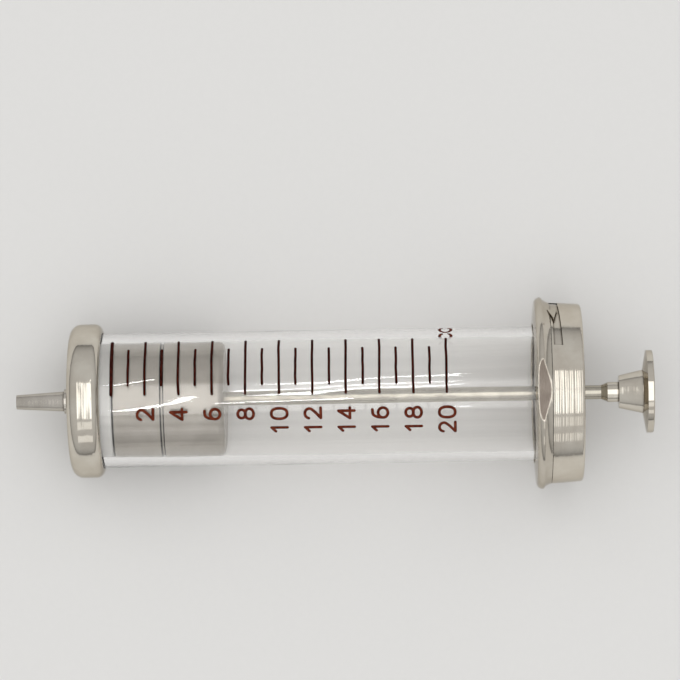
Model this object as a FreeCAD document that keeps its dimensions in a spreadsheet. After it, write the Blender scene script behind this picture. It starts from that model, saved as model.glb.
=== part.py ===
import FreeCAD, Part
import math
import os
import re
import Sketcher

# Record syringe, 20 ml: a glass barrel between a front cap with a record nozzle and a collar with a finger flange,
# a hollow metal piston in two cups on a thin rod, and a closure cap that a bayonet holds on the collar.
# Millimetres. Every piece is drawn on the syringe's own axis, X, from the nozzle's tip towards the knob.
# The whole is then tilted, as it lies on a table on the front cap and on one flat of the flange.

SIZES = {
    # Nozzle
    "nozzle_length": 8.63,
    "nozzle_tip_radius": 1.28,
    "nozzle_base_radius": 1.80,
    "nozzle_bore_radius": 0.60,
    "nozzle_shoulder_radius": 2.20,
    "nozzle_shoulder_length": 0.90,
    "nozzle_stem_radius": 1.50,
    "nozzle_foot_radius": 3.00,
    "nozzle_foot_thickness": 0.50,
    # Front cap
    "front_cap_step": 1.74,
    "front_cap_length": 5.76,
    "front_cap_wall": 0.50,
    "front_cap_dome": 0.41,
    "front_edge_round": 2.00,
    "front_lip_round": 1.45,
    "seating_gap": 0.05,
    # Glass barrel
    "glass_outer_radius": 12.06,
    "glass_wall": 1.71,
    "glass_bead_step": 1.09,
    "glass_bead_round": 1.00,
    "fire_polish": 0.45,
    "polish_wall_share": 0.40,
    "glass_length": 88.30,
    # Front seal
    "seal_flange_thickness": 0.80,
    "seal_plug_length": 6.42,
    "seal_gap": 0.03,
    "seal_bevel": 0.25,
    # Piston
    "piston_clearance": 0.03,
    "piston_rest_gap": 0.04,
    "piston_front_length": 9.22,
    "piston_rear_length": 10.68,
    "piston_wall": 0.60,
    "piston_end_thickness": 0.80,
    "seam_groove_width": 0.60,
    "seam_groove_depth": 0.30,
    "piston_rear_round": 1.20,
    "piston_front_round": 0.35,
    "spigot_length": 2.00,
    "spigot_wall": 0.50,
    "spigot_gap": 0.02,
    # Rod and its retainer
    "rod_radius": 1.25,
    "rod_length": 68.15,
    "rod_head_radius": 2.00,
    "rod_head_thickness": 1.60,
    "rod_running_gap": 0.05,
    "rod_flare_radius": 1.72,
    "rod_flare_length": 1.15,
    "rod_stud_radius": 0.90,
    "rod_stud_length": 4.00,
    "retainer_wall": 1.50,
    "retainer_floor": 0.80,
    # Thumb knob
    "knob_stem_radius": 1.80,
    "knob_stem_length": 2.02,
    "knob_body_front_radius": 2.92,
    "knob_body_rear_radius": 3.91,
    "knob_body_length": 4.30,
    "knob_disc_radius": 7.42,
    "knob_disc_cone": 0.62,
    "knob_disc_rim": 1.15,
    "knob_disc_dome": 0.35,
    "knob_edge_round": 0.20,
    # Collar with the finger flange
    "collar_overlap": 6.74,
    "collar_length": 8.07,
    "flange_step": 0.92,
    "flange_face_slope": 0.25,
    "flange_front_round": 1.10,
    "flange_crest": 0.15,
    "flange_crest_round": 0.14,
    "flange_plate": 1.20,
    "flat_clearance": 0.02,
    "flare_length": 1.40,
    "flare_round": 2.20,
    "flare_end_step": 0.29,
    "rim_room": 1.37,
    "rim_taper": 0.40,
    "rim_wall": 0.80,
    "hub_wall": 0.85,
    "hub_length": 5.90,
    "cutter_margin": 1.00,
    # Cement between the glass and the collar
    "cement_thickness": 0.50,
    "cement_length": 5.00,
    "cement_start": 0.60,
    "cement_gap": 0.01,
    # Closure cap
    "cap_skirt_gap": 0.06,
    "cap_skirt_wall": 0.24,
    "cap_front_gap": 0.05,
    "cap_end_thickness": 0.40,
    "cap_end_gap": 0.10,
    "cap_corner_round": 0.50,
    "cap_hole_radius": 1.90,
    # Bayonet, its angles from straight up
    "bayonet_angle": 61.3,
    "notch_closed_angle": 28.8,
    "notch_bend_angle": 72.8,
    "notch_open_angle": 93.8,
    "notch_closed_depth": 1.98,
    "notch_open_depth": 1.47,
    "lip_width": 0.35,
    "lug_tip_angle": 48.8,
    "lug_base_angle": 61.8,
    "lug_tip_depth": 0.55,
    "lug_base_front": 0.50,
    "lug_base_rear": 1.16,
    "lug_gap": 0.14,
    "lug_root_depth": 0.78,
    "lug_height": 0.52,
}

BAYONET_LUGS = 2
FLANGE_FLATS = 2

doc = FreeCAD.newDocument("record_syringe")
sheet = doc.addObject("Spreadsheet::Sheet", "Sizes")
for row, (alias, number) in enumerate(SIZES.items(), start=1):
    sheet.set(f"A{row}", alias)
    sheet.set(f"B{row}", str(number))
    sheet.setAlias(f"B{row}", alias)
doc.recompute()


def cells(text):
    """An expression in which each size's name is a cell of the sheet."""
    return re.sub(r"[a-z]\w*", lambda m: f"Sizes.{m[0]}" if m[0] in SIZES else m[0], text)


def value(text):
    """The number that an expression has now."""
    return float(sheet.evalExpression(cells(text)))


# Places along the axis and radii that more than one piece takes

FRONT_CAP_RADIUS = "(glass_outer_radius + front_cap_step)"
BORE_RADIUS = "(glass_outer_radius - glass_wall)"
BEAD_RADIUS = "(glass_outer_radius + glass_bead_step)"
HUB_RADIUS = "(glass_outer_radius + cement_thickness)"
HUB_OUTSIDE = f"({HUB_RADIUS} + hub_wall)"
RIM_FRONT_RADIUS = f"({HUB_OUTSIDE} + rim_room + rim_wall + rim_taper)"
SKIRT_RADIUS = f"({RIM_FRONT_RADIUS} + cap_skirt_gap + cap_skirt_wall)"
FLANGE_RADIUS = f"({SKIRT_RADIUS} + flange_step)"
FLAT_DISTANCE = f"({SKIRT_RADIUS} + flat_clearance)"
CAP_TOP = "(nozzle_length + nozzle_shoulder_length)"
CAP_FACE = f"({CAP_TOP} + front_cap_dome)"
CAP_REAR = f"({CAP_FACE} + front_cap_length)"
CAP_INSIDE = f"({FRONT_CAP_RADIUS} - front_cap_wall)"
LIP_INSIDE = f"({CAP_REAR} - front_cap_wall)"
SEAL_FACE = f"({CAP_FACE} + front_cap_wall + seating_gap)"
GLASS_FRONT = f"({SEAL_FACE} + seal_flange_thickness)"
GLASS_REAR = f"({GLASS_FRONT} + glass_length)"
SEAL_REAR = f"({GLASS_FRONT} + seal_plug_length)"
PISTON_RADIUS = f"({BORE_RADIUS} - piston_clearance)"
PISTON_FRONT = f"({SEAL_REAR} + piston_rest_gap)"
PISTON_SEAM = f"({PISTON_FRONT} + piston_front_length)"
PISTON_REAR = f"({PISTON_SEAM} + piston_rear_length)"
CUP_INSIDE = f"({PISTON_RADIUS} - piston_wall)"
SPIGOT_RADIUS = f"({CUP_INSIDE} - spigot_gap)"
CUP_FLOOR = f"({PISTON_REAR} - piston_end_thickness)"
HEAD_ROOM = "(rod_head_thickness + 2 * rod_running_gap)"
RETAINER_FRONT = f"({CUP_FLOOR} - {HEAD_ROOM} - retainer_floor)"
ROD_HEAD_REAR = f"({CUP_FLOOR} - rod_running_gap)"
FLARE_START = f"({ROD_HEAD_REAR} + rod_length)"
KNOB_FRONT = f"({FLARE_START} + rod_flare_length)"
KNOB_BODY = f"({KNOB_FRONT} + knob_stem_length)"
KNOB_DISC = f"({KNOB_BODY} + knob_body_length)"
KNOB_RIM = f"({KNOB_DISC} + knob_disc_cone)"
KNOB_FACE = f"({KNOB_RIM} + knob_disc_rim)"
FLANGE_FACE = f"({GLASS_REAR} - collar_overlap)"
FLANGE_CREST = f"({FLANGE_FACE} + flange_face_slope + flange_front_round)"
RIM_FRONT = f"({FLANGE_CREST} + flange_crest + flare_length)"
COLLAR_REAR = f"({FLANGE_FACE} + collar_length)"
SKIRT_FRONT = f"({RIM_FRONT} + cap_front_gap)"
CAP_END_INSIDE = f"({COLLAR_REAR} + cap_end_gap)"
CAP_END = f"({CAP_END_INSIDE} + cap_end_thickness)"
RIM_REAR_RADIUS = f"({RIM_FRONT_RADIUS} - rim_taper)"


def dome_radius(chord, rise):
    """Radius of a dome from half its width and its height."""
    return f"(({chord})^2 + ({rise})^2) / (2 * ({rise}))"


def origin_plane(body, role):
    """One of the body's own origin planes or axes."""
    return next(part for part in body.Origin.OriginFeatures if part.Role == role)


def new_body(label):
    body = doc.addObject("PartDesign::Body", label)
    body.Label = label
    return body


def draw(body, name, outline, plane="XZ_Plane"):
    """A closed sketch through corners (along, across, arc): arc is None, or the arc's radius to the next corner.

    A radius that starts with a minus sign bends the other way."""
    sketch = body.newObject("Sketcher::SketchObject", name)
    sketch.AttachmentSupport = [(origin_plane(body, plane), "")]
    sketch.MapMode = "FlatFace"
    corners = [FreeCAD.Vector(value(along), value(across), 0) for along, across, arc in outline]
    for index, (along, across, arc) in enumerate(outline):
        start = corners[index]
        end = corners[(index + 1) % len(corners)]
        if arc is None:
            sketch.addGeometry(Part.LineSegment(start, end))
        else:
            sketch.addGeometry(arc_between(start, end, value(arc)))
    join_corners(sketch, corners)
    for index, (along, across, arc) in enumerate(outline):
        first = arc_end(sketch, index, corners[index])
        bind_place(sketch, index, first, "DistanceX", along)
        bind_place(sketch, index, first, "DistanceY", across)
        if arc is not None:
            radius = cells(arc.lstrip("-"))
            place = sketch.addConstraint(Sketcher.Constraint("Radius", index, abs(value(arc))))
            sketch.setExpression(f"Constraints[{place}]", radius)
    return sketch


def arc_between(start, end, radius):
    """The short arc from start to end, bulging to the left of the way for a positive radius."""
    chord = end - start
    middle = (start + end) * 0.5
    left = FreeCAD.Vector(-chord.y, chord.x, 0).normalize()
    rise = abs(radius) - math.sqrt(max(radius**2 - (chord.Length / 2) ** 2, 0))
    bulge = middle + left * math.copysign(rise, radius)
    return Part.Arc(start, bulge, end)


def arc_end(sketch, index, corner):
    """Which end of an edge lies on the corner: 1 for its start, 2 for its end."""
    return min((1, 2), key=lambda end: sketch.getPoint(index, end).distanceToPoint(corner))


def join_corners(sketch, corners):
    for index in range(len(corners)):
        following = (index + 1) % len(corners)
        corner = corners[following]
        ends = (index, arc_end(sketch, index, corner), following, arc_end(sketch, following, corner))
        sketch.addConstraint(Sketcher.Constraint("Coincident", *ends))


def bind_place(sketch, index, end, kind, text):
    """Ties one coordinate of a corner to its expression."""
    number = value(text)
    if number == 0:
        axis = -1 if kind == "DistanceY" else -2
        sketch.addConstraint(Sketcher.Constraint("PointOnObject", index, end, axis))
        return
    place = sketch.addConstraint(Sketcher.Constraint(kind, -1, 1, index, end, number))
    sketch.setExpression(f"Constraints[{place}]", cells(text))


def revolve(body, name, outline):
    """The outline turned once round the syringe's axis."""
    sketch = draw(body, name + "_outline", outline)
    turned = body.newObject("PartDesign::Revolution", name)
    turned.Profile = sketch
    turned.ReferenceAxis = (sketch, ["H_Axis"])
    turned.Angle = 360
    doc.recompute()
    return turned


def round_rings(body, name, radius, rings, kind="Fillet"):
    """Rounds or bevels the round edges at the given (along, radius) places of the body's last feature."""
    base = body.Tip
    wanted = [(value(along), value(across)) for along, across in rings]
    edges = []
    for number, edge in enumerate(base.Shape.Edges, start=1):
        if not isinstance(edge.Curve, Part.Circle):
            continue
        for along, across in wanted:
            near = abs(edge.Curve.Center.x - along) < 1e-4 and abs(edge.Curve.Radius - across) < 1e-4
            if near:
                edges.append(f"Edge{number}")
    feature = body.newObject(f"PartDesign::{kind}", name)
    feature.Base = (base, edges)
    feature.setExpression("Radius" if kind == "Fillet" else "Size", cells(radius))
    doc.recompute()
    return feature


def repeat_round(body, name, feature, count):
    """Copies a feature evenly round the axis."""
    pattern = body.newObject("PartDesign::PolarPattern", name)
    pattern.Originals = [feature]
    pattern.Axis = (origin_plane(body, "X_Axis"), [""])
    pattern.Angle = 360
    pattern.Occurrences = count
    body.Tip = pattern
    doc.recompute()
    return pattern


def face_bayonet(sketch, distance="0"):
    """Turns a sketch to face the bayonet's middle, at a distance from the axis."""
    sketch.AttachmentOffset = FreeCAD.Placement(
        FreeCAD.Vector(0, 0, 0), FreeCAD.Rotation(FreeCAD.Vector(-1, 0, 0), SIZES["bayonet_angle"])
    )
    sketch.setExpression("AttachmentOffset.Rotation.Angle", cells("bayonet_angle"))
    sketch.setExpression("AttachmentOffset.Base.y", cells(f"{distance} * sin(bayonet_angle)"))
    sketch.setExpression("AttachmentOffset.Base.z", cells(f"{distance} * cos(bayonet_angle)"))


def round_place(angle):
    """How far to the side of the bayonet's middle an angle lies on the rim."""
    return f"({RIM_FRONT_RADIUS} * sin({angle} - bayonet_angle))"


def make_nozzle():
    """Turned cone with a shoulder, a stem through the cap and a foot behind the cap's wall."""
    foot_front = f"({CAP_TOP} + front_cap_wall + seating_gap)"
    foot_rear = f"({foot_front} + nozzle_foot_thickness)"
    body = new_body("nozzle")
    revolve(body, "cone", [
        ("0", "nozzle_bore_radius", None),
        ("0", "nozzle_tip_radius", None),
        ("nozzle_length", "nozzle_base_radius", None),
        ("nozzle_length", "nozzle_shoulder_radius", None),
        (CAP_TOP, "nozzle_shoulder_radius", None),
        (CAP_TOP, "nozzle_stem_radius", None),
        (foot_front, "nozzle_stem_radius", None),
        (foot_front, "nozzle_foot_radius", None),
        (foot_rear, "nozzle_foot_radius", None),
        (foot_rear, "nozzle_bore_radius", None),
    ])
    return body


def make_front_cap():
    """Drawn cup: slightly domed face, rounded edge, and a rear edge spun in to the glass."""
    stem_hole = "(nozzle_stem_radius + seating_gap)"
    face_edge = f"({FRONT_CAP_RADIUS} - front_edge_round)"
    inner_edge_round = "(front_edge_round - front_cap_wall)"
    inner_lip_round = "(front_lip_round - front_cap_wall)"
    lip_edge = "(glass_outer_radius + 2 * seating_gap)"
    inner_top = f"({CAP_TOP} + front_cap_wall)"
    inner_face = f"({CAP_FACE} + front_cap_wall)"
    outer_dome = dome_radius(f"{FRONT_CAP_RADIUS} - front_edge_round", "front_cap_dome")
    body = new_body("front_cap")
    revolve(body, "cup", [
        (CAP_TOP, stem_hole, outer_dome),
        (CAP_FACE, face_edge, "front_edge_round"),
        (f"({CAP_FACE} + front_edge_round)", FRONT_CAP_RADIUS, None),
        (f"({CAP_REAR} - front_lip_round)", FRONT_CAP_RADIUS, "front_lip_round"),
        (CAP_REAR, f"({FRONT_CAP_RADIUS} - front_lip_round)", None),
        (CAP_REAR, lip_edge, None),
        (LIP_INSIDE, lip_edge, None),
        (LIP_INSIDE, f"({CAP_INSIDE} - {inner_lip_round})", f"-{inner_lip_round}"),
        (f"({LIP_INSIDE} - {inner_lip_round})", CAP_INSIDE, None),
        (f"({inner_face} + {inner_edge_round})", CAP_INSIDE, f"-{inner_edge_round}"),
        (inner_face, f"({CAP_INSIDE} - {inner_edge_round})", f"-{outer_dome}"),
        (inner_top, stem_hole, None),
    ])
    return body


def make_front_seal():
    """Top-hat seal: a flange against the glass's end and a plug that fills the bore up to the piston."""
    foot_room = f"({CAP_TOP} + front_cap_wall + 2 * seating_gap + nozzle_foot_thickness)"
    foot_side = "(nozzle_foot_radius + seating_gap)"
    plug_radius = f"({BORE_RADIUS} - seal_gap)"
    flange_radius = f"({CAP_INSIDE} - front_edge_round + front_cap_wall)"
    body = new_body("front_seal")
    revolve(body, "plug", [
        (f"({foot_room} + seating_gap)", "nozzle_bore_radius", None),
        (f"({foot_room} + seating_gap)", foot_side, None),
        (SEAL_FACE, foot_side, None),
        (SEAL_FACE, flange_radius, None),
        (f"({GLASS_FRONT} - seal_gap)", flange_radius, None),
        (f"({GLASS_FRONT} - seal_gap)", plug_radius, None),
        (SEAL_REAR, plug_radius, None),
        (SEAL_REAR, "nozzle_bore_radius", None),
    ])
    round_rings(body, "rear_bevel", "seal_bevel", [(SEAL_REAR, plug_radius)], "Chamfer")
    return body


def make_glass_barrel():
    """Glass tube with a bead that the front cap holds and a fire-polished rear end."""
    bead_rear = f"({LIP_INSIDE} - seating_gap)"
    body = new_body("glass_barrel")
    revolve(body, "tube", [
        (GLASS_FRONT, BORE_RADIUS, None),
        (GLASS_FRONT, f"({BEAD_RADIUS} - glass_bead_round)", "glass_bead_round"),
        (f"({GLASS_FRONT} + glass_bead_round)", BEAD_RADIUS, None),
        (f"({bead_rear} - glass_bead_round)", BEAD_RADIUS, "glass_bead_round"),
        (bead_rear, f"({BEAD_RADIUS} - glass_bead_round)", None),
        (bead_rear, "glass_outer_radius", None),
        (GLASS_REAR, "glass_outer_radius", None),
        (GLASS_REAR, BORE_RADIUS, None),
    ])
    ends = [(GLASS_REAR, "glass_outer_radius"), (GLASS_REAR, BORE_RADIUS)]
    polish = "min(fire_polish; polish_wall_share * glass_wall)"
    round_rings(body, "fire_polished_end", polish, ends)
    return body


def make_piston_front():
    """Front cup of the hollow piston, with the groove at the seam and the spigot that enters the rear cup."""
    body = new_body("piston_front")
    spigot_inside = f"({SPIGOT_RADIUS} - spigot_wall)"
    groove_front = f"({PISTON_SEAM} - seam_groove_width)"
    groove_floor = f"({PISTON_RADIUS} - seam_groove_depth)"
    revolve(body, "cup", [
        (PISTON_FRONT, "0", None),
        (PISTON_FRONT, PISTON_RADIUS, None),
        (groove_front, PISTON_RADIUS, None),
        (groove_front, groove_floor, None),
        (PISTON_SEAM, groove_floor, None),
        (PISTON_SEAM, SPIGOT_RADIUS, None),
        (f"({PISTON_SEAM} + spigot_length)", SPIGOT_RADIUS, None),
        (f"({PISTON_SEAM} + spigot_length)", spigot_inside, None),
        (f"({PISTON_FRONT} + piston_end_thickness)", spigot_inside, None),
        (f"({PISTON_FRONT} + piston_end_thickness)", "0", None),
    ])
    round_rings(body, "front_edge", "piston_front_round", [(PISTON_FRONT, PISTON_RADIUS)])
    return body


def make_piston_rear():
    """Rear cup of the hollow piston, with the hole that the rod turns in."""
    rod_hole = "(rod_radius + rod_running_gap)"
    body = new_body("piston_rear")
    revolve(body, "cup", [
        (PISTON_SEAM, CUP_INSIDE, None),
        (PISTON_SEAM, PISTON_RADIUS, None),
        (PISTON_REAR, PISTON_RADIUS, None),
        (PISTON_REAR, rod_hole, None),
        (CUP_FLOOR, rod_hole, None),
        (CUP_FLOOR, CUP_INSIDE, None),
    ])
    round_rings(body, "rear_edge", "piston_rear_round", [(PISTON_REAR, PISTON_RADIUS)])
    return body


def make_rod_retainer():
    """Small cup inside the piston that traps the rod's head and lets it turn."""
    room_radius = "(rod_head_radius + rod_running_gap)"
    body = new_body("rod_retainer")
    revolve(body, "cup", [
        (RETAINER_FRONT, "0", None),
        (RETAINER_FRONT, f"({room_radius} + retainer_wall)", None),
        (CUP_FLOOR, f"({room_radius} + retainer_wall)", None),
        (CUP_FLOOR, room_radius, None),
        (f"({RETAINER_FRONT} + retainer_floor)", room_radius, None),
        (f"({RETAINER_FRONT} + retainer_floor)", "0", None),
    ])
    return body


def make_piston_rod():
    """Rod with a head in the piston, a flared shoulder under the knob and a stud that the knob screws on."""
    head_front = f"({ROD_HEAD_REAR} - rod_head_thickness)"
    body = new_body("piston_rod")
    revolve(body, "rod", [
        (head_front, "0", None),
        (head_front, "rod_head_radius", None),
        (ROD_HEAD_REAR, "rod_head_radius", None),
        (ROD_HEAD_REAR, "rod_radius", None),
        (FLARE_START, "rod_radius", None),
        (KNOB_FRONT, "rod_flare_radius", None),
        (KNOB_FRONT, "rod_stud_radius", None),
        (f"({KNOB_FRONT} + rod_stud_length)", "rod_stud_radius", None),
        (f"({KNOB_FRONT} + rod_stud_length)", "0", None),
    ])
    return body


def make_thumb_knob():
    """Turned knob: stem, tapered body and flat disc with a conical underside and a low dome."""
    stud_hole = "(rod_stud_radius + spigot_gap)"
    hole_end = f"({KNOB_FRONT} + rod_stud_length + seating_gap)"
    face_radius = "(knob_disc_radius - knob_edge_round)"
    body = new_body("thumb_knob")
    revolve(body, "knob", [
        (KNOB_FRONT, stud_hole, None),
        (KNOB_FRONT, "knob_stem_radius", None),
        (KNOB_BODY, "knob_stem_radius", None),
        (KNOB_BODY, "knob_body_front_radius", None),
        (KNOB_DISC, "knob_body_rear_radius", None),
        (KNOB_RIM, "knob_disc_radius", None),
        (f"({KNOB_FACE} - knob_edge_round)", "knob_disc_radius", "knob_edge_round"),
        (KNOB_FACE, face_radius, dome_radius(face_radius, "knob_disc_dome")),
        (f"({KNOB_FACE} + knob_disc_dome)", "0", None),
        (hole_end, "0", None),
        (hole_end, stud_hole, None),
    ])
    return body


def make_collar():
    """Turned ring: flange plate with a beaded edge and two flats, hub round the glass, rim with bayonet lugs."""
    plate_rear = f"({FLANGE_FACE} + flange_plate)"
    slope_end = f"({FLANGE_FACE} + flange_face_slope)"
    crest_rear = f"({FLANGE_CREST} + flange_crest)"
    hub_rear = f"({FLANGE_FACE} + hub_length)"
    body = new_body("collar")
    revolve(body, "ring", [
        (FLANGE_FACE, HUB_RADIUS, None),
        (FLANGE_FACE, HUB_OUTSIDE, None),
        (slope_end, f"({FLANGE_RADIUS} - flange_front_round)", "flange_front_round"),
        (FLANGE_CREST, FLANGE_RADIUS, None),
        (crest_rear, FLANGE_RADIUS, "-flare_round"),
        (RIM_FRONT, f"({RIM_FRONT_RADIUS} + flare_end_step)", None),
        (RIM_FRONT, RIM_FRONT_RADIUS, None),
        (COLLAR_REAR, RIM_REAR_RADIUS, None),
        (COLLAR_REAR, f"({RIM_REAR_RADIUS} - rim_wall)", None),
        (plate_rear, f"({RIM_REAR_RADIUS} - rim_wall)", None),
        (plate_rear, HUB_OUTSIDE, None),
        (hub_rear, HUB_OUTSIDE, None),
        (hub_rear, HUB_RADIUS, None),
    ])
    round_rings(body, "crest", "flange_crest_round", [(crest_rear, FLANGE_RADIUS)])
    cut_flats(body)
    raise_lugs(body)
    return body


def cut_flats(body):
    """Two flats across the flange, one up and one down."""
    half_width = f"({FLANGE_RADIUS} / 2)"
    before_face = f"({FLANGE_FACE} - cutter_margin)"
    flat = draw(body, "flat_outline", [
        (before_face, f"(-{half_width})", None),
        (RIM_FRONT, f"(-{half_width})", None),
        (RIM_FRONT, half_width, None),
        (before_face, half_width, None),
    ], "XY_Plane")
    flat.setExpression("AttachmentOffset.Base.z", cells(FLAT_DISTANCE))
    cut = body.newObject("PartDesign::Pocket", "flat")
    cut.Profile = flat
    cut.Type = "ThroughAll"
    cut.Reversed = True
    doc.recompute()
    repeat_round(body, "flats", cut, FLANGE_FLATS)


def raise_lugs(body):
    """Wedge lugs on the rim: each one's point faces the way the cap is turned to close it."""
    base_side = round_place("lug_base_angle")
    tip_side = round_place("lug_tip_angle")
    wedge = draw(body, "lug_outline", [
        (f"({SKIRT_FRONT} - lug_base_front)", base_side, None),
        (f"({SKIRT_FRONT} + lug_tip_depth)", tip_side, None),
        (f"({SKIRT_FRONT} + lug_base_rear)", base_side, None),
    ], "XY_Plane")
    face_bayonet(wedge, f"({RIM_FRONT_RADIUS} - lug_root_depth)")
    lug = body.newObject("PartDesign::Pad", "lug")
    lug.Profile = wedge
    lug.setExpression("Length", cells("lug_height + lug_root_depth"))
    doc.recompute()
    repeat_round(body, "lugs", lug, BAYONET_LUGS)


def make_rear_cement():
    """Cement ring that holds the collar's hub on the glass."""
    start = f"({FLANGE_FACE} + cement_start)"
    inside = "(glass_outer_radius + cement_gap)"
    outside = f"({HUB_RADIUS} - cement_gap)"
    body = new_body("rear_cement")
    revolve(body, "ring", [
        (start, inside, None),
        (start, outside, None),
        (f"({start} + cement_length)", outside, None),
        (f"({start} + cement_length)", inside, None),
    ])
    return body


def make_closure_cap():
    """Drawn cap with a slightly tapered skirt, the rod's hole and two bayonet notches."""
    body = new_body("closure_cap")
    skirt_rear = f"({SKIRT_RADIUS} - rim_taper)"
    revolve(body, "cup", [
        (SKIRT_FRONT, f"({SKIRT_RADIUS} - cap_skirt_wall)", None),
        (SKIRT_FRONT, SKIRT_RADIUS, None),
        (CAP_END, skirt_rear, None),
        (CAP_END, "cap_hole_radius", None),
        (CAP_END_INSIDE, "cap_hole_radius", None),
        (CAP_END_INSIDE, f"({skirt_rear} - cap_skirt_wall)", None),
    ])
    round_rings(body, "corner", "cap_corner_round", [(CAP_END, skirt_rear)])
    cut_notches(body)
    return body


def cut_notches(body):
    """Notches that open at the skirt's edge, with a lip that hooks behind the lug's slanted side."""
    closed_side = round_place("notch_closed_angle")
    bend_side = round_place("notch_bend_angle")
    open_side = round_place("notch_open_angle")
    lug_run = f"({round_place('lug_base_angle')} - {round_place('lug_tip_angle')})"
    lug_slope = f"({lug_run} / (lug_tip_depth + lug_base_front))"
    lip_inner = f"({round_place('lug_tip_angle')} + (lug_tip_depth - lip_width) * {lug_slope} - lug_gap)"
    lip_outer = f"({round_place('lug_tip_angle')} + lug_tip_depth * {lug_slope} - lug_gap)"
    notch = draw(body, "notch_outline", [
        (f"({SKIRT_FRONT} + lip_width)", closed_side, None),
        (f"({SKIRT_FRONT} + notch_closed_depth)", closed_side, None),
        (f"({SKIRT_FRONT} + notch_open_depth)", bend_side, None),
        (f"({SKIRT_FRONT} + notch_open_depth)", open_side, None),
        (f"({SKIRT_FRONT} - lip_width)", open_side, None),
        (f"({SKIRT_FRONT} - lip_width)", f"({lip_outer} + lip_width * {lug_slope})", None),
        (f"({SKIRT_FRONT} + lip_width)", lip_inner, None),
    ], "XY_Plane")
    face_bayonet(notch)
    cut = body.newObject("PartDesign::Pocket", "notch")
    cut.Profile = notch
    cut.Type = "ThroughAll"
    cut.Reversed = True
    doc.recompute()
    repeat_round(body, "notches", cut, BAYONET_LUGS)


def resting_place():
    """How the syringe lies: on the round edge of the front cap and on the front edge of the lower flat.

    The tilt is that of the line from the flat's edge which just touches the front cap's rounded edge.
    The origin is on the table, under the middle of the syringe's length."""
    round_place_x = value(f"{CAP_FACE} + front_edge_round")
    round_place_r = value(f"{FRONT_CAP_RADIUS} - front_edge_round")
    front_round = value("flange_front_round")
    above_round = value(f"{FLAT_DISTANCE} - {FLANGE_RADIUS} + flange_front_round")
    flat_edge = value(FLANGE_CREST) - math.sqrt(max(front_round**2 - max(above_round, 0) ** 2, 0))
    along = flat_edge - round_place_x
    across = value(FLAT_DISTANCE) - round_place_r
    reach = math.hypot(along, across)
    tilt = math.atan2(across, along) - math.asin(value("front_edge_round") / reach)
    lift = value(FLAT_DISTANCE) * math.cos(tilt) - flat_edge * math.sin(tilt)
    front = -value("nozzle_tip_radius") * math.sin(tilt)
    face_dome = value(dome_radius("knob_disc_radius - knob_edge_round", "knob_disc_dome"))
    rear = (value(f"{KNOB_FACE} + knob_disc_dome") - face_dome) * math.cos(tilt) + face_dome
    turn = FreeCAD.Rotation(FreeCAD.Vector(0, -1, 0), math.degrees(tilt))
    return FreeCAD.Placement(FreeCAD.Vector(-(front + rear) / 2, 0, lift), turn)


PIECES = [
    make_nozzle(),
    make_front_cap(),
    make_front_seal(),
    make_glass_barrel(),
    make_piston_front(),
    make_piston_rear(),
    make_rod_retainer(),
    make_piston_rod(),
    make_thumb_knob(),
    make_collar(),
    make_rear_cement(),
    make_closure_cap(),
]

place = resting_place()
for piece in PIECES:
    piece.Placement = place
doc.recompute()

for thing in doc.Objects:
    if "Invalid" in thing.State or "Error" in thing.State:
        raise SystemExit(f"{thing.Label} failed: {thing.State}")
for piece in PIECES:
    if piece.Shape.isNull() or not piece.Shape.isValid() or len(piece.Shape.Solids) != 1:
        raise SystemExit(f"{piece.Label} is not one sound solid")

os.makedirs("parts", exist_ok=True)
for piece in PIECES:
    piece.Shape.exportStep(f"parts/{piece.Label}.step")
    box = piece.Shape.BoundBox
    print(piece.Label, round(piece.Shape.Volume, 2), [round(n, 2) for n in (box.XMin, box.XMax, box.ZMin, box.ZMax)])
print("tilt", round(math.degrees(place.Rotation.Angle), 3), "base", place.Base)
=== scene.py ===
import math

import bpy
import numpy as np
from mathutils import Matrix, Vector


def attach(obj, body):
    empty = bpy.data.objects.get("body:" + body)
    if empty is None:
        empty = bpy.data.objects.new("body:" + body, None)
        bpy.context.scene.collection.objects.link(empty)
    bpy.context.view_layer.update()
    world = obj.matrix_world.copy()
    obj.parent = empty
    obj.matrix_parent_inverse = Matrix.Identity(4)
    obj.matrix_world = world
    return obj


# Looks of the record syringe: printed scale on the glass, metal finishes, clear glass, table and lamps.
# Metres, in the same frame as the CAD model. Along the syringe's own axis, u runs from the nozzle's tip
# towards the knob, and an angle round the axis is measured from straight up towards +Y.

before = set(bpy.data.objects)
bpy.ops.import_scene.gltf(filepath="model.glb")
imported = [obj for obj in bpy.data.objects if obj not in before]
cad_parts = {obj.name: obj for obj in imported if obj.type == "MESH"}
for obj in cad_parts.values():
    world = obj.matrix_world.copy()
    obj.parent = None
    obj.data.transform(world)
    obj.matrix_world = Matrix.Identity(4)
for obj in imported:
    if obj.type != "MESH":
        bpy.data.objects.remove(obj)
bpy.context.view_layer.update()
MM = 0.001

# How the syringe lies on the table
TILT = math.radians(1.763)
NOZZLE_TIP = np.array([-57.24086, 0.0, 13.42702]) * MM

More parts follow.
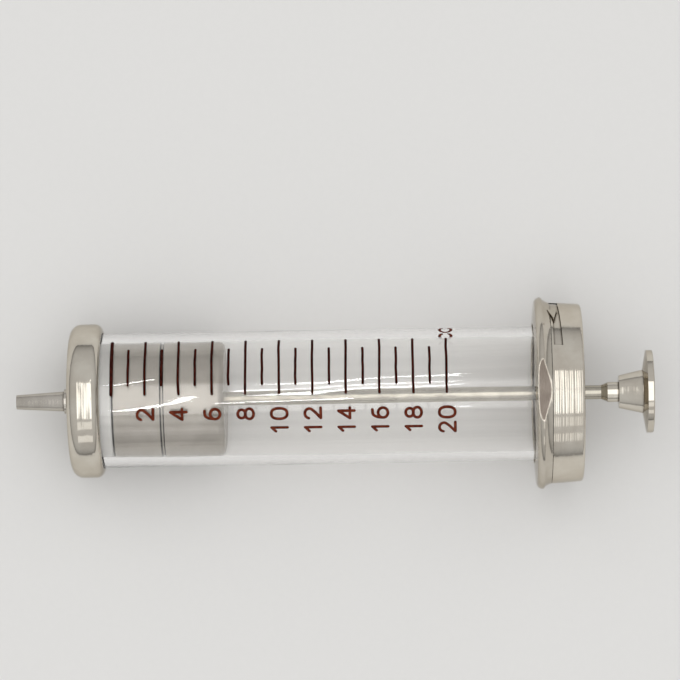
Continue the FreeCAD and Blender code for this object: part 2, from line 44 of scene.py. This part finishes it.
# Glass and print
GLASS_RADIUS = 12.06 * MM
PRINT_FOOT = 0.004 * MM
PRINT_HEIGHT = 0.022 * MM
SCALE_START = 17.88 * MM
SCALE_LENGTH = 59.32 * MM
SCALE_ML = 20
SCALE_TWIST = math.radians(2.3)
LONG_LINE = (math.radians(2.8), math.radians(56.2))
SHORT_LINE = (math.radians(10.7), math.radians(45.2))
LINE_WIDTH = 0.46 * MM
ZERO_LINE_WIDTH = 0.62 * MM
FIGURE_HEIGHT = 2.80 * MM
FIGURE_WIDTH = 1.90 * MM
FIGURE_PEN = 0.53 * MM
UNITS_ANGLE = math.radians(-14.4)
TENS_ANGLE = math.radians(-27.9)
UNIT_MARK_HEIGHT = 2.05 * MM
WORN_LETTER_ANGLE = math.radians(60.0)
WORN_LETTER_WIDTH = 1.75 * MM
WHOLE_LETTER_ANGLE = math.radians(74.0)
WHOLE_LETTER_WIDTH = 3.0 * MM
LINE_SHAKE = 0.025 * MM
LINE_POINTS = 25
SHAKE_POINTS = 6

# A pen stroke: points round half an end, points across, its narrowest place and how far in its ends thin out,
# the last two as shares of its width
STROKE_END_POINTS = 5
STROKE_ACROSS_POINTS = 7
STROKE_TIP = 0.01
STROKE_END_FALL = 0.2

# Front edge of the piston and its seam, along the axis
PISTON_FRONT = 17.90 * MM
SEAM_FRONT = 26.42 * MM
SEAM_REAR = 26.94 * MM


# Placing on the glass

def on_axis(u, across, angle):
    """World points of places u along the axis, at a radius and an angle from straight up towards +Y.

    side = radius * sin(angle) and height = radius * cos(angle), then the axis is tilted nose down."""
    side = across * np.sin(angle)
    height = across * np.cos(angle)
    x = NOZZLE_TIP[0] + u * math.cos(TILT) - height * math.sin(TILT)
    z = NOZZLE_TIP[2] + u * math.sin(TILT) + height * math.cos(TILT)
    return np.stack([x, side + 0 * u, z], axis=-1)


def ring_faces(rings, around):
    """Quads between rings of points that follow each other, each ring closed on itself."""
    ring, place = np.meshgrid(np.arange(rings - 1), np.arange(around), indexing="ij")
    next_place = (place + 1) % around
    here = ring * around
    ahead = here + around
    quads = np.stack([here + place, here + next_place, ahead + next_place, ahead + place], axis=-1)
    return quads.reshape(-1, 4)


def new_piece(name, points, faces, material, body):
    """A smooth mesh from points and faces, riding on a body and in a material slot of the record."""
    mesh = bpy.data.meshes.new(name)
    mesh.from_pydata(np.asarray(points).tolist(), [], [list(face) for face in faces])
    mesh.polygons.foreach_set("use_smooth", np.ones(len(mesh.polygons), bool))
    mesh.materials.append(material)
    mesh.update()
    piece = bpy.data.objects.new(name, mesh)
    bpy.context.scene.collection.objects.link(piece)
    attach(piece, body)


# Pen strokes of the printed scale

def pen_stroke(path, width):
    """Points and faces of a low rounded ribbon of print along a path on the glass.

    path holds (u, arc length round the glass) pairs. Across the path, v runs from -1 to 1: the ribbon's
    offset is v * width / 2 and its height is PRINT_HEIGHT * sqrt(1 - v^4). Its underside is flat, and
    both ends are half discs that thin out."""
    path = np.asarray(path, float)
    way = np.gradient(path, axis=0)
    way /= np.linalg.norm(way, axis=1, keepdims=True)
    turns = np.linspace(0, math.pi / 2, STROKE_END_POINTS)
    start = path[0] - way[0] * (width / 2) * np.cos(turns)[:, None]
    finish = path[-1] + way[-1] * (width / 2) * np.sin(turns)[:, None]
    line = np.vstack([start[:-1], path, finish[1:]])
    added = STROKE_END_POINTS - 1
    ways = np.vstack([np.repeat(way[:1], added, 0), way, np.repeat(way[-1:], added, 0)])
    half = np.concatenate([np.sin(turns)[:-1], np.ones(len(path)), np.cos(turns)[1:]]) * width / 2
    half = np.maximum(half, width * STROKE_TIP)
    v = np.linspace(-1, 1, STROKE_ACROSS_POINTS)
    side = np.stack([-ways[:, 1], ways[:, 0]], axis=-1)
    flat = line[:, None, :] + side[:, None, :] * (half[:, None] * v)[..., None]
    rise = PRINT_FOOT + PRINT_HEIGHT * np.sqrt(np.clip(1 - v**4, 0, 1))
    thinning = np.clip(half / (width * STROKE_END_FALL), STROKE_END_FALL, 1)
    rise = np.broadcast_to(rise, flat.shape[:2]) * thinning[:, None]
    flat = np.concatenate([flat, flat[:, -2:0:-1]], axis=1)
    rise = np.concatenate([rise, np.full((len(line), len(v) - 2), PRINT_FOOT)], axis=1)
    points = on_axis(flat[..., 0], GLASS_RADIUS + rise, flat[..., 1] / GLASS_RADIUS)
    around = points.shape[1]
    faces = ring_faces(len(line), around)[:, ::-1].tolist()
    first_ring = list(range(around))
    last_ring = [around * (len(line) - 1) + place for place in reversed(first_ring)]
    return points.reshape(-1, 3), faces + [first_ring, last_ring]


def join_strokes(strokes):
    """One list of points and faces from several strokes."""
    points = []
    faces = []
    start = 0
    for stroke_points, stroke_faces in strokes:
        points.append(stroke_points)
        faces += [[start + corner for corner in face] for face in stroke_faces]
        start += len(stroke_points)
    return np.vstack(points), faces


def curve(points, steps=10):
    """A smooth path through points: a Catmull-Rom curve, evenly stepped between each two of them."""
    points = np.asarray(points, float)
    padded = np.vstack([2 * points[0] - points[1], points, 2 * points[-1] - points[-2]])
    t = np.linspace(0, 1, steps, endpoint=False)[:, None]
    spans = []
    for a, b, c, d in zip(padded[:-3], padded[1:-2], padded[2:-1], padded[3:]):
        square = 2 * a - 5 * b + 4 * c - d
        cube = 3 * b - a - 3 * c + d
        spans.append(0.5 * (2 * b + (c - a) * t + square * t**2 + cube * t**3))
    return np.vstack([*spans, points[-1:]])


def straight(start, end, steps=8):
    """A straight path between two points."""
    t = np.linspace(0, 1, steps)[:, None]
    return np.asarray(start) + t * (np.asarray(end) - np.asarray(start))


def oval(centre, half_width, half_height, first=0.0, last=360.0, power=2.0, steps=33):
    """A path round an oval, from one angle to another in degrees, anticlockwise from its right side.

    With a power over 2 its corners are fuller: x = half_width * sign(cos) * |cos|^(2/power), and y is alike
    with sin."""
    angle = np.radians(np.linspace(first, last, steps))
    x = np.sign(np.cos(angle)) * np.abs(np.cos(angle)) ** (2 / power)
    y = np.sign(np.sin(angle)) * np.abs(np.sin(angle)) ** (2 / power)
    return np.stack([centre[0] + half_width * x, centre[1] + half_height * y], axis=-1)


def figure_paths(sign):
    """Pen paths of one figure or letter in a box one unit wide and one unit high, reading upright."""
    if sign == "0":
        return [oval((0.5, 0.5), 0.5, 0.5, 90, 452, power=2.4, steps=49)]
    if sign == "1":
        return [straight((0.62, 1.0), (0.62, 0.0)), straight((0.60, 0.97), (0.22, 0.74))]
    if sign == "2":
        top = oval((0.49, 0.71), 0.46, 0.29, 170, -20, steps=21)
        sweep = curve([top[-1], (0.62, 0.36), (0.04, 0.0)])
        return [np.vstack([top, sweep[1:]]), straight((0.04, 0.0), (1.0, 0.0))]
    if sign == "4":
        stem = straight((0.72, 0.0), (0.72, 1.0))
        slope = straight((0.72, 1.0), (0.0, 0.28))
        return [stem, slope, straight((0.0, 0.28), (1.0, 0.28))]
    if sign == "6":
        tail = curve([(0.03, 0.33), (0.10, 0.66), (0.34, 0.93), (0.80, 0.98)])
        return [oval((0.5, 0.31), 0.47, 0.31, 0, 360, steps=37), tail]
    if sign == "8":
        top = oval((0.5, 0.755), 0.40, 0.245)
        return [top, oval((0.5, 0.265), 0.49, 0.265, 0, 360, steps=37)]
    letter_centre = (0.55, 0.5)
    if sign == "worn c":
        upper_end = oval(letter_centre, 0.5, 0.5, 46, 92, steps=9)
        return [upper_end, oval(letter_centre, 0.5, 0.5, 268, 314, steps=9)]
    return [oval(letter_centre, 0.5, 0.5, 34, 326, steps=31)]


def figure(sign, u, angle, height, width):
    """Strokes of one figure, its top towards the nozzle, centred u along the axis at an angle."""
    strokes = []
    for path in figure_paths(sign):
        along = u - (path[:, 1] - 0.5) * height
        round_glass = angle * GLASS_RADIUS + (path[:, 0] - 0.5) * width
        strokes.append(pen_stroke(np.stack([along, round_glass], axis=-1), FIGURE_PEN))
    return strokes


def twist(ml):
    """How far the print turns round the glass from the start of the scale to a line."""
    return -SCALE_TWIST * ml / SCALE_ML


def line_place(ml):
    """Place along the axis of a line of the scale."""
    return SCALE_START + SCALE_LENGTH * ml / SCALE_ML


def make_print(name, strokes, material):
    """One piece of print on the glass from its strokes."""
    points, faces = join_strokes(strokes)
    new_piece(name, points, faces, material, "barrel")


def make_graduation_lines(material):
    """A line round the glass at each millilitre, long at the even ones; they shake a little, as printed."""
    shake = np.random.default_rng(20)
    along_line = np.linspace(0, 1, LINE_POINTS)
    along_shake = np.linspace(0, 1, SHAKE_POINTS)
    strokes = []
    for ml in range(SCALE_ML + 1):
        first, last = LONG_LINE if ml % 2 == 0 else SHORT_LINE
        width = ZERO_LINE_WIDTH if ml == 0 else LINE_WIDTH
        arc = np.linspace(first, last, LINE_POINTS) + twist(ml)
        wander = np.interp(along_line, along_shake, shake.normal(0, LINE_SHAKE, SHAKE_POINTS))
        path = np.stack([line_place(ml) + wander, arc * GLASS_RADIUS], axis=-1)
        strokes.append(pen_stroke(path, width))
    make_print("graduation_lines", strokes, material)


def make_graduation_numbers(material):
    """The even millilitres as figures beside their lines, reading with their tops towards the nozzle."""
    strokes = []
    for ml in range(2, SCALE_ML + 1, 2):
        text = str(ml)
        strokes += figure(text[-1], line_place(ml), UNITS_ANGLE + twist(ml), FIGURE_HEIGHT, FIGURE_WIDTH)
        if len(text) == 2:
            strokes += figure(text[0], line_place(ml), TENS_ANGLE + twist(ml), FIGURE_HEIGHT, FIGURE_WIDTH)
    make_print("graduation_numbers", strokes, material)


def make_unit_mark(material):
    """The unit's two letters above the last line; only the ends of the first one are left."""
    strokes = []
    whole = ("c", WHOLE_LETTER_ANGLE, WHOLE_LETTER_WIDTH)
    for sign, angle, width in (("worn c", WORN_LETTER_ANGLE, WORN_LETTER_WIDTH), whole):
        strokes += figure(sign, line_place(SCALE_ML), angle + twist(SCALE_ML), UNIT_MARK_HEIGHT, width)
    make_print("unit_mark", strokes, material)


# Materials: grains are in cells per metre, or such a pair along the axis and across it, and heights in metres

SMUDGE_GRAIN = 170.0
WAVE_GRAIN = (260.0, 90.0)
EDGE_TINT = (0.73, 0.705, 0.665, 1)
# Colour of the painted shade in gaps and crevices, laid on by ambient occlusion
CREVICE_SHADE = (0.14, 0.108, 0.08)
CREVICE_RANGE = (0.54, 0.95)
RING_SHADE = 0.06
RING_FADE = (0.6, 1.3)
GLASS_COLOUR = (0.995, 0.992, 0.985, 1)
GLASS_SHADOW = (0.96, 0.955, 0.95, 1)
GLASS_LINE_GRAIN = (60.0, 500.0)
GLASS_LINE_HEIGHT = 0.012 * MM
GLASS_WAVE_GRAIN = (26.0, 60.0)
GLASS_WAVE_HEIGHT = 0.36 * MM
ENAMEL_GRAIN = 1400.0
ENAMEL_HEIGHT = 0.01 * MM
SOLID_CAST_GRAIN = 300.0
SOLID_FINE_GRAIN = 3000.0
TABLE_GRAIN = 900.0


def new_material(name):
    """A material with its node tree and its main shader."""
    material = bpy.data.materials.new(name)
    material.use_nodes = True
    tree = material.node_tree
    return material, tree, tree.nodes["Principled BSDF"]


def add_node(tree, kind, **settings):
    """A node of a kind with its settings."""
    node = tree.nodes.new(kind)
    for name, setting in settings.items():
        setattr(node, name, setting)
    return node


def tilted_place(tree):
    """Mapping node of the Object coordinates, turned by the tilt, for a scale or a shift to be set on it."""
    place = add_node(tree, "ShaderNodeTexCoord")
    turn = add_node(tree, "ShaderNodeMapping", vector_type="POINT")
    turn.inputs["Rotation"].default_value = (0, TILT, 0)
    tree.links.new(place.outputs["Object"], turn.inputs["Vector"])
    return turn


def axis_noise(tree, along, across, detail=3.0, roughness=0.5):
    """Noise with its grain in cells per metre, along X, which is the axis but for its tilt, and across it."""
    turn = tilted_place(tree)
    turn.inputs["Scale"].default_value = (along, across, across)
    noise = add_node(tree, "ShaderNodeTexNoise")
    noise.inputs["Scale"].default_value = 1.0
    noise.inputs["Detail"].default_value = detail
    noise.inputs["Roughness"].default_value = roughness
    tree.links.new(turn.outputs["Vector"], noise.inputs["Vector"])
    return noise.outputs["Fac"]


def spread(tree, factor, low, high, from_low=0.3, from_high=0.7):
    """A factor mapped from one range to another."""
    node = add_node(tree, "ShaderNodeMapRange")
    node.inputs["From Min"].default_value = from_low
    node.inputs["From Max"].default_value = from_high
    node.inputs["To Min"].default_value = low
    node.inputs["To Max"].default_value = high
    tree.links.new(factor, node.inputs["Value"])
    return node.outputs["Result"]


def two_tone(tree, factor, dark, light, low=0.35, high=0.65):
    """A colour between two, by a factor."""
    ramp = add_node(tree, "ShaderNodeValToRGB")
    ramp.color_ramp.elements[0].position = low
    ramp.color_ramp.elements[0].color = (*dark, 1)
    ramp.color_ramp.elements[1].position = high
    ramp.color_ramp.elements[1].color = (*light, 1)
    tree.links.new(factor, ramp.inputs["Fac"])
    return ramp.outputs["Color"]


def bump(tree, height, distance, below=None):
    """A bump of a height in metres, on top of another where one is given."""
    node = add_node(tree, "ShaderNodeBump")
    node.inputs["Strength"].default_value = 1.0
    node.inputs["Distance"].default_value = distance
    tree.links.new(height, node.inputs["Height"])
    if below is not None:
        tree.links.new(below, node.inputs["Normal"])
    return node.outputs["Normal"]


def multiply(tree, colour, factor):
    """A colour times a factor."""
    mix = add_node(tree, "ShaderNodeMix", data_type="RGBA", blend_type="MULTIPLY")
    mix.inputs["Factor"].default_value = 1.0
    tree.links.new(colour, mix.inputs["A"])
    tree.links.new(factor, mix.inputs["B"])
    return mix.outputs["Result"]


def darken_crevices(tree, colour, reach):
    """A colour with painted shade where other surfaces stand closer than a reach, darkening gaps and crevices
    where shade falls.
    """
    hollow = add_node(tree, "ShaderNodeAmbientOcclusion", samples=8)
    hollow.inputs["Distance"].default_value = reach
    painted_shade = two_tone(tree, hollow.outputs["AO"], CREVICE_SHADE, (1.0, 1.0, 1.0), *CREVICE_RANGE)
    return multiply(tree, colour, painted_shade)


def dark_ring(tree, colour, u, half_width):
    """A colour with a ring of painted shade round the axis, u along it, standing for the dark walls of a seam
    or an edge.
    """
    turn = tilted_place(tree)
    start = NOZZLE_TIP[0] * math.cos(TILT) + NOZZLE_TIP[2] * math.sin(TILT)
    turn.inputs["Location"].default_value = (-start - u, 0, 0)
    parts = add_node(tree, "ShaderNodeSeparateXYZ")
    away = add_node(tree, "ShaderNodeMath", operation="ABSOLUTE")
    tree.links.new(turn.outputs["Vector"], parts.inputs["Vector"])
    tree.links.new(parts.outputs["X"], away.inputs[0])
    inner, outer = (share * half_width for share in RING_FADE)
    unshaded_share = spread(tree, away.outputs["Value"], RING_SHADE, 1.0, inner, outer)
    return multiply(tree, colour, unshaded_share)


def metal(name, dark, light, smooth, rough, line_height, lines=2600.0, across=25.0, waves=0.0, crevice=0.0,
          edge=0.0, rings=(), haze=0.0):
    """A plated or turned metal: fine lines, finger marks in its roughness and a faint cast.

    The lines run round the axis where lines is more than across, and along it where it is less.

    Where they are given, waves is the height of its slow unevenness, crevice is the reach of painted shade
    where near surfaces close in, edge is the wear of sharp edges and rings are the places and half widths of
    rings of painted shade round the axis.
    haze is the share of the light that its ground surface scatters."""
    material, tree, shader = new_material(name)
    shader.inputs["Metallic"].default_value = 1.0 - haze
    shader.inputs["Specular Tint"].default_value = EDGE_TINT
    smudge = axis_noise(tree, SMUDGE_GRAIN, SMUDGE_GRAIN, 4.0, 0.6)
    colour = two_tone(tree, smudge, dark, light)
    # Painted shade in gaps and crevices, and rings of painted shade round the axis
    if crevice:
        colour = darken_crevices(tree, colour, crevice)
    for u, half_width in rings:
        colour = dark_ring(tree, colour, u, half_width)
    tree.links.new(colour, shader.inputs["Base Color"])
    tree.links.new(spread(tree, smudge, smooth, rough), shader.inputs["Roughness"])
    worn = None
    if edge:
        worn_edges = add_node(tree, "ShaderNodeBevel", samples=6)
        worn_edges.inputs["Radius"].default_value = edge
        worn = worn_edges.outputs["Normal"]
    normal = bump(tree, axis_noise(tree, lines, across, 2.0), line_height, below=worn)
    if waves:
        normal = bump(tree, axis_noise(tree, *WAVE_GRAIN, 2.0), waves, below=normal)
    tree.links.new(normal, shader.inputs["Normal"])
    return material


def clear_glass():
    """Clear drawn glass, faintly uneven. To shadow and diffuse rays it is plainly transparent."""
    material, tree, shader = new_material("clear_glass")
    shader.inputs["Base Color"].default_value = GLASS_COLOUR
    shader.inputs["Roughness"].default_value = 0.03
    shader.inputs["IOR"].default_value = 1.47
    shader.inputs["Transmission Weight"].default_value = 1.0
    drawn_lines = bump(tree, axis_noise(tree, *GLASS_LINE_GRAIN, 2.0), GLASS_LINE_HEIGHT)
    slow_waves = bump(tree, axis_noise(tree, *GLASS_WAVE_GRAIN, 1.0), GLASS_WAVE_HEIGHT, below=drawn_lines)
    tree.links.new(slow_waves, shader.inputs["Normal"])
    through = add_node(tree, "ShaderNodeBsdfTransparent")
    through.inputs["Color"].default_value = GLASS_SHADOW
    rays = add_node(tree, "ShaderNodeLightPath")
    either = add_node(tree, "ShaderNodeMath", operation="MAXIMUM")
    mix = add_node(tree, "ShaderNodeMixShader")
    tree.links.new(rays.outputs["Is Shadow Ray"], either.inputs[0])
    tree.links.new(rays.outputs["Is Diffuse Ray"], either.inputs[1])
    tree.links.new(either.outputs["Value"], mix.inputs["Fac"])
    tree.links.new(shader.outputs["BSDF"], mix.inputs[1])
    tree.links.new(through.outputs["BSDF"], mix.inputs[2])
    tree.links.new(mix.outputs["Shader"], tree.nodes["Material Output"].inputs["Surface"])
    return material


def printed_enamel(name, dark, light):
    """Fired red-brown scale colour with small uneven spots."""
    material, tree, shader = new_material(name)
    spots = axis_noise(tree, ENAMEL_GRAIN, ENAMEL_GRAIN, 3.0)
    tree.links.new(two_tone(tree, spots, dark, light), shader.inputs["Base Color"])
    shader.inputs["Roughness"].default_value = 0.6
    shader.inputs["Specular IOR Level"].default_value = 0.02
    tree.links.new(bump(tree, spots, ENAMEL_HEIGHT), shader.inputs["Normal"])
    return material


def soft_solid(name, dark, light, roughness, grain):
    """The seal, the cement and the like: dull, with a fine grain of a height in metres."""
    material, tree, shader = new_material(name)
    cast = axis_noise(tree, SOLID_CAST_GRAIN, SOLID_CAST_GRAIN, 4.0)
    tree.links.new(two_tone(tree, cast, dark, light), shader.inputs["Base Color"])
    shader.inputs["Roughness"].default_value = roughness
    fine = axis_noise(tree, SOLID_FINE_GRAIN, SOLID_FINE_GRAIN)
    tree.links.new(bump(tree, fine, grain), shader.inputs["Normal"])
    return material


def dress(nodes, material):
    """Gives CAD nodes a material in all the slots of their meshes."""
    for name in nodes:
        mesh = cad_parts[name].data
        for place in range(len(mesh.materials)):
            mesh.materials[place] = material


# Table, camera and lamps

FLOOR_COLOUR = (0.694, 0.687, 0.673)
FLOOR_DARKER = 0.992
FLOOR_REACH = 1.6
CAMERA_CENTRE = Vector((1.05, 10.19, 15.3)) * MM
CAMERA_FOOT = (-10.05 * MM, -35.9 * MM)
CAMERA_HEIGHT = 680 * MM
CAMERA_ROLL = math.radians(0.93)
LENS_LENGTH = 200.6
SENSOR_WIDTH = 36.0
CARD_CENTRE = Vector((39, 23, 600)) * MM
CARD_HALF_LENGTH = 45 * MM
CARD_HALF_WIDTH = 32 * MM
CARD_COLOUR = (0.10, 0.09, 0.09, 1)
CARD_GLOW = (0.34, 0.305, 0.295, 1)
# The knob's tapered body faces a little towards the nozzle, so its panel stands on that side
KNOB_PANEL_X = -0.165
# Millimetres, as the places of the strips are
STRIP_HEIGHT = 690


def rectangle(centre, half_length, half_width):
    """Corners of a level rectangle, anticlockwise seen from above."""
    x, y, z = centre
    near = y - half_width
    far = y + half_width
    left = x - half_length
    right = x + half_length
    return [(left, near, z), (right, near, z), (right, far, z), (left, far, z)]


def make_floor():
    """Pale table top, far larger than the view."""
    material, tree, shader = new_material("table_top")
    fine = axis_noise(tree, TABLE_GRAIN, TABLE_GRAIN, 4.0)
    shade = tuple(FLOOR_DARKER * part for part in FLOOR_COLOUR)
    tree.links.new(two_tone(tree, fine, shade, FLOOR_COLOUR), shader.inputs["Base Color"])
    shader.inputs["Roughness"].default_value = 0.75
    shader.inputs["Specular IOR Level"].default_value = 0.1
    mesh = bpy.data.meshes.new("floor")
    mesh.from_pydata(rectangle((0, 0, 0), FLOOR_REACH, FLOOR_REACH), [], [(0, 1, 2, 3)])
    mesh.materials.append(material)
    floor = bpy.data.objects.new("floor", mesh)
    bpy.context.scene.collection.objects.link(floor)


def make_camera():
    """Above the table, looking down as the photograph does, with a little roll and no shift."""
    right = Vector((math.cos(CAMERA_ROLL), -math.sin(CAMERA_ROLL), 0))
    ahead = Vector((math.sin(CAMERA_ROLL), math.cos(CAMERA_ROLL), 0))
    data = bpy.data.cameras.new("camera")
    data.lens = LENS_LENGTH
    data.sensor_width = SENSOR_WIDTH
    data.clip_start = 0.01
    data.clip_end = 20.0
    camera = bpy.data.objects.new("camera", data)
    bpy.context.scene.collection.objects.link(camera)
    place = CAMERA_CENTRE + right * CAMERA_FOOT[0] + ahead * CAMERA_FOOT[1] + Vector((0, 0, CAMERA_HEIGHT))
    back = (place - CAMERA_CENTRE).normalized()
    side = (right - back * right.dot(back)).normalized()
    up = back.cross(side)
    camera.matrix_world = Matrix.Translation(place) @ Matrix((side, up, back)).transposed().to_4x4()
    bpy.context.scene.camera = camera


def light_only(lamp, node):
    """Lets a lamp shine on the named node only."""
    receivers = bpy.data.collections.new(lamp.name + "_receivers")
    receivers.objects.link(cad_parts[node])
    lamp.light_linking.receiver_collection = receivers


def gloss_only(lamp):
    """Lets a lamp show in gloss alone."""
    lamp.visible_diffuse = False
    lamp.visible_transmission = False


def area_lamp(name, length, width, strength):
    """A rectangular lamp that the camera doesn't see. A strength of 1 is a white sheet in full light."""
    data = bpy.data.lights.new(name, "AREA")
    data.shape = "RECTANGLE"
    data.size = length
    data.size_y = width
    data.energy = strength * math.pi * data.size * data.size_y
    lamp = bpy.data.objects.new(name, data)
    bpy.context.scene.collection.objects.link(lamp)
    lamp.visible_camera = False
    return lamp


def add_panel(name, side_angle, spread_angle, length, distance, strength):
    """A soft lamp at a distance from the syringe, turned to it, whose middle is at an angle from straight up.

    Seen from the syringe, it spreads over an angle round the axis. Angles are in degrees, sizes in metres."""
    width = 2 * distance * math.tan(math.radians(spread_angle) / 2)
    lamp = area_lamp(name, length, width, strength)
    angle = math.radians(side_angle)
    lamp.location = (0, distance * math.sin(angle), distance * math.cos(angle))
    lamp.rotation_euler = (-angle, 0, 0)
    return lamp


def add_strip(name, start, finish, width, strength):
    """A narrow lamp over the syringe, which the glass alone reflects, from one place to another.

    The places are (x, y) in millimetres, and so is its width."""
    start = Vector((*start, STRIP_HEIGHT)) * MM
    finish = Vector((*finish, STRIP_HEIGHT)) * MM
    lamp = area_lamp(name, (finish - start).length, width * MM, strength)
    lamp.location = (start + finish) / 2
    lamp.rotation_euler = (0, 0, math.atan2(finish.y - start.y, finish.x - start.x))
    gloss_only(lamp)
    light_only(lamp, "glass_barrel")


def make_room():
    """A grey room that is darkest at the horizon: its brightness follows the height of the direction."""
    world = bpy.data.worlds.new("room")
    world.use_nodes = True
    tree = world.node_tree
    way = add_node(tree, "ShaderNodeTexCoord")
    parts = add_node(tree, "ShaderNodeSeparateXYZ")
    ramp = add_node(tree, "ShaderNodeValToRGB")
    steps = ((0.0, 0.20), (0.08, 0.39), (0.22, 0.53), (0.65, 0.63), (1.0, 0.63))
    while len(ramp.color_ramp.elements) < len(steps):
        ramp.color_ramp.elements.new(0.5)
    for element, (height, grey) in zip(ramp.color_ramp.elements, steps):
        element.position = height
        element.color = (grey, grey, grey, 1)
    tree.links.new(way.outputs["Generated"], parts.inputs["Vector"])
    tree.links.new(parts.outputs["Z"], ramp.inputs["Fac"])
    tree.links.new(ramp.outputs["Color"], tree.nodes["Background"].inputs["Color"])
    bpy.context.scene.world = world


def make_camera_card():
    """Grey card beside the lens, where the camera is held: the flange's upper flat reflects it."""
    material, tree, shader = new_material("grey_card")
    shader.inputs["Base Color"].default_value = CARD_COLOUR
    shader.inputs["Roughness"].default_value = 0.8
    shader.inputs["Emission Color"].default_value = CARD_GLOW
    shader.inputs["Emission Strength"].default_value = 1.0
    mesh = bpy.data.meshes.new("camera_card")
    mesh.from_pydata(rectangle(CARD_CENTRE, CARD_HALF_LENGTH, CARD_HALF_WIDTH), [], [(3, 2, 1, 0)])
    mesh.materials.append(material)
    card = bpy.data.objects.new("camera_card", mesh)
    bpy.context.scene.collection.objects.link(card)
    card.visible_camera = False
    card.visible_diffuse = False
    card.visible_transmission = False


def make_lamps():
    """A broad lamp overhead, two windows, a fill, panels for collar and knob, and streaks for the glass."""
    add_panel("overhead_panel", -1.2, 52.7, length=0.28, distance=0.66, strength=1.20)
    add_panel("near_window", -38.0, 11.9, length=0.34, distance=0.80, strength=0.42)
    add_panel("low_window", -59.5, 11.0, length=0.34, distance=0.80, strength=0.42)
    fill = add_panel("fill", 4.0, 78.0, length=1.80, distance=1.10, strength=0.71)
    fill.visible_glossy = False
    fill.visible_transmission = False
    sheet = add_panel("flange_sheet", 0.0, 30.0, length=1.10, distance=0.68, strength=0.95)
    gloss_only(sheet)
    light_only(sheet, "collar")
    knob_panel = add_panel("knob_panel", 6.0, 50.0, length=0.12, distance=0.66, strength=0.70)
    knob_panel.location.x = KNOB_PANEL_X
    gloss_only(knob_panel)
    light_only(knob_panel, "thumb_knob")
    add_strip("first_streak", (-119, 300), (-108, 445), width=4.5, strength=24.0)
    add_strip("left_streak", (-114, -240), (-66, 62), width=7.0, strength=28.0)
    add_strip("middle_streak", (-90, -4), (-31, 130), width=11.0, strength=32.0)
    add_strip("middle_streak_end", (-31, 130), (13, 185), width=11.0, strength=30.0)
    add_strip("next_streak", (-60, 125), (-31, 205), width=5.0, strength=32.0)
    add_strip("next_streak_end", (-31, 205), (13, 264), width=9.0, strength=28.0)
    add_strip("upper_streak", (-50, 250), (-24, 350), width=9.0, strength=30.0)
    add_strip("upper_streak_end", (-24, 350), (20, 462), width=8.0, strength=28.0)
    add_strip("lower_streak", (-66, -110), (-28, -62), width=9.0, strength=28.0)
    add_strip("upper_glint", (-2, 399), (16, 399), width=30.0, strength=20.0)
    add_strip("lower_glint", (9, -280), (20, -280), width=24.0, strength=20.0)


# The materials of this syringe

NICKEL = metal(
    "nickel_plate", dark=(0.62, 0.57, 0.49), light=(0.71, 0.67, 0.59), smooth=0.05, rough=0.13,
    line_height=0.006 * MM, waves=0.12 * MM, crevice=0.45 * MM)
NOZZLE_NICKEL = metal(
    "nozzle_nickel", dark=(0.50, 0.465, 0.41), light=(0.60, 0.565, 0.51), smooth=0.10, rough=0.22,
    line_height=0.020 * MM, crevice=0.45 * MM)
FLANGE_NICKEL = metal(
    "flange_nickel", dark=(0.57, 0.525, 0.45), light=(0.65, 0.605, 0.53), smooth=0.05, rough=0.10,
    line_height=0.016 * MM, lines=1500.0, waves=0.02 * MM, crevice=0.45 * MM, edge=0.36 * MM)
TURNED_NICKEL = metal(
    "turned_nickel", dark=(0.64, 0.585, 0.50), light=(0.74, 0.695, 0.61), smooth=0.06, rough=0.14,
    line_height=0.060 * MM, lines=2300.0, waves=0.02 * MM, crevice=0.55 * MM)
# The piston's rings are painted shade at its front edge and at both sides of its seam
PISTON_METAL = metal(
    "ground_piston", dark=(0.375, 0.348, 0.308), light=(0.445, 0.417, 0.373), smooth=0.18, rough=0.26,
    line_height=0.010 * MM, lines=25.0, across=2600.0, haze=0.58,
    rings=((PISTON_FRONT, 0.17 * MM), (SEAM_FRONT, 0.14 * MM), (SEAM_REAR, 0.11 * MM)))
ROD_STEEL = metal(
    "rod_steel", dark=(0.40, 0.37, 0.31), light=(0.52, 0.49, 0.42), smooth=0.14, rough=0.24,
    line_height=0.004 * MM)
SEAL_GREY = soft_solid(
    "seal_grey", dark=(0.62, 0.615, 0.59), light=(0.70, 0.69, 0.665), roughness=0.5, grain=0.006 * MM)
CEMENT = soft_solid(
    "pale_cement", dark=(0.55, 0.53, 0.49), light=(0.66, 0.64, 0.60), roughness=0.8, grain=0.01 * MM)
SCALE_DARK = printed_enamel("scale_lines_enamel", dark=(0.016, 0.003, 0.002), light=(0.050, 0.009, 0.006))
SCALE_BROWN = printed_enamel("scale_figures_enamel", dark=(0.072, 0.013, 0.007), light=(0.155, 0.036, 0.019))
GLASS = clear_glass()

dress(["front_cap", "thumb_knob"], NICKEL)
dress(["nozzle"], NOZZLE_NICKEL)
dress(["collar"], FLANGE_NICKEL)
dress(["closure_cap"], TURNED_NICKEL)
dress(["piston_front", "piston_rear"], PISTON_METAL)
dress(["piston_rod", "rod_retainer"], ROD_STEEL)
dress(["front_seal"], SEAL_GREY)
dress(["rear_cement"], CEMENT)
dress(["glass_barrel"], GLASS)

make_graduation_lines(SCALE_DARK)
make_graduation_numbers(SCALE_BROWN)
make_unit_mark(SCALE_BROWN)

make_floor()
make_camera()
make_room()
make_camera_card()
make_lamps()
bpy.context.scene.view_settings.view_transform = "Standard"
